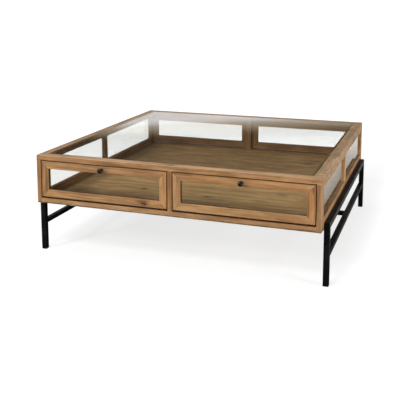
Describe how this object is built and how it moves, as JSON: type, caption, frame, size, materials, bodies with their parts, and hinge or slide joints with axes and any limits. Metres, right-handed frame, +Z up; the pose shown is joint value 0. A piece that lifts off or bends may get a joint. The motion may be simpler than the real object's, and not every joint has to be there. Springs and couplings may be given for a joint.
{
  "type": "glazed display coffee table",
  "caption": "Low square display table: a glazed wooden case with a flush glass top and drop-down glazed flaps, held between black square-tube side frames with a cross stretcher.",
  "frame": {"origin": "on the floor, under the middle of the table", "axes": "+X to the right and +Y to the rear, seen from the front; +Z up; the front flaps face -Y"},
  "size_m": [1.11, 1.12, 0.385],
  "materials": {
    "oak": "light brown knotty oak, matt lacquer",
    "clear_glass": "clear float glass, polished",
    "black_steel": "satin black powder coat",
    "black_knob": "satin black",
    "black_plastic": "matt black",
    "plain_steel": "plain steel"
  },
  "bodies": {
    "table": {"catch_magnets": "plain_steel", "centre_post_front": "oak", "centre_post_rear": "oak", "corner_post_front_left": "oak", "corner_post_front_right": "oak", "corner_post_rear_left": "oak", "corner_post_rear_right": "oak", "cross_stretcher": "black_steel", "fixing_plates": "black_steel", "floor_board": "oak", "foot_glides": "black_plastic", "leg_front_left": "black_steel", "leg_front_right": "black_steel", "leg_rear_left": "black_steel", "leg_rear_right": "black_steel", "pivot_pins": "plain_steel", "side_mullion_left": "oak", "side_mullion_right": "oak", "side_pane_front_left": "clear_glass", "side_pane_front_right": "clear_glass", "side_pane_rear_left": "clear_glass", "side_pane_rear_right": "clear_glass", "sill_front": "oak", "sill_left": "oak", "sill_rear": "oak", "sill_right": "oak", "stretcher_left": "black_steel", "stretcher_right": "black_steel", "top_glass": "clear_glass", "top_rail_front": "oak", "top_rail_left": "oak", "top_rail_rear": "oak", "top_rail_right": "oak", "upper_rail_left": "black_steel", "upper_rail_right": "black_steel"},
    "flap_front_left": {"flap_front_left_knob": "black_knob", "flap_front_left_pane": "clear_glass", "flap_front_left_rail_bottom": "oak", "flap_front_left_rail_top": "oak", "flap_front_left_stile_inner": "oak", "flap_front_left_stile_outer": "oak"},
    "flap_front_right": {"flap_front_right_knob": "black_knob", "flap_front_right_pane": "clear_glass", "flap_front_right_rail_bottom": "oak", "flap_front_right_rail_top": "oak", "flap_front_right_stile_inner": "oak", "flap_front_right_stile_outer": "oak"},
    "flap_rear_left": {"flap_rear_left_knob": "black_knob", "flap_rear_left_pane": "clear_glass", "flap_rear_left_rail_bottom": "oak", "flap_rear_left_rail_top": "oak", "flap_rear_left_stile_inner": "oak", "flap_rear_left_stile_outer": "oak"},
    "flap_rear_right": {"flap_rear_right_knob": "black_knob", "flap_rear_right_pane": "clear_glass", "flap_rear_right_rail_bottom": "oak", "flap_rear_right_rail_top": "oak", "flap_rear_right_stile_inner": "oak", "flap_rear_right_stile_outer": "oak"}
  },
  "joints": [
    {"name": "flap_front_left_pivot", "type": "hinge", "parent": "table", "child": "flap_front_left", "pos_m": [-0.263, -0.53, 0.231], "axis": [1, 0, 0], "range_deg": [0, 90]},
    {"name": "flap_front_right_pivot", "type": "hinge", "parent": "table", "child": "flap_front_right", "pos_m": [0.263, -0.53, 0.231], "axis": [1, 0, 0], "range_deg": [0, 90]},
    {"name": "flap_rear_left_pivot", "type": "hinge", "parent": "table", "child": "flap_rear_left", "pos_m": [-0.263, 0.53, 0.231], "axis": [-1, 0, 0], "range_deg": [0, 90]},
    {"name": "flap_rear_right_pivot", "type": "hinge", "parent": "table", "child": "flap_rear_right", "pos_m": [0.263, 0.53, 0.231], "axis": [-1, 0, 0], "range_deg": [0, 90]}
  ]
}
